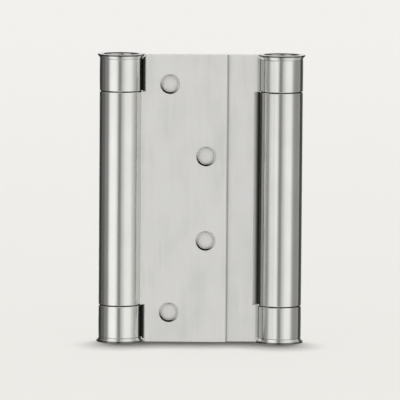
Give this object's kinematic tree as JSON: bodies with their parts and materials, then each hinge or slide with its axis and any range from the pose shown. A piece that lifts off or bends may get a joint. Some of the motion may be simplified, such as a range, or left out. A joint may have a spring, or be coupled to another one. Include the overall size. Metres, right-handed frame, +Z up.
{
  "type": "double action spring hinge",
  "caption": "Upright two-barrel spring hinge: two countersunk leaves folded flat against a centre web, each sprung to swing open its own way.",
  "frame": {"origin": "midway between the two barrels, on the surface that the hinge stands on", "axes": "+Z up along the barrels, +X to the right barrel, -Y out of the front leaf's face"},
  "size_m": [0.073, 0.0166, 0.1018],
  "materials": {
    "satin_sheet": "satin, fine vertical grain",
    "turned_cap": "turned, satin",
    "bright_rod": "ground",
    "spring_wire": "oiled spring steel",
    "bush": "plain bearing bronze"
  },
  "bodies": {
    "frame_leaf": {"front_leaf": "satin_sheet", "left_lower_bush": "bush", "left_upper_bush": "bush", "left_spring_anchor": "turned_cap", "left_anchor_pin": "bright_rod"},
    "web": {"centre_web": "satin_sheet", "left_top_cap": "turned_cap", "left_bottom_cap": "turned_cap", "left_spindle": "bright_rod", "left_spring": "spring_wire", "left_tension_pin": "bright_rod", "left_retaining_pin": "bright_rod", "right_top_cap": "turned_cap", "right_bottom_cap": "turned_cap", "right_spindle": "bright_rod", "right_spring": "spring_wire", "right_tension_pin": "bright_rod", "right_retaining_pin": "bright_rod"},
    "door_leaf": {"back_leaf": "satin_sheet", "right_lower_bush": "bush", "right_upper_bush": "bush", "right_spring_anchor": "turned_cap", "right_anchor_pin": "bright_rod"}
  },
  "joints": [
    {"name": "left_hinge", "type": "hinge", "parent": "frame_leaf", "child": "web", "pos_m": [-0.02825, 0, 0.0509], "axis": [0, 0, 1], "range_deg": [0, 180], "stiffness_Nm_per_rad": 0.16, "springref_deg": -180, "deforming": ["left_spring"]},
    {"name": "right_hinge", "type": "hinge", "parent": "web", "child": "door_leaf", "pos_m": [0.02825, 0, 0.0509], "axis": [0, 0, -1], "range_deg": [0, 180], "stiffness_Nm_per_rad": 0.16, "springref_deg": -180, "deforming": ["right_spring"]}
  ]
}
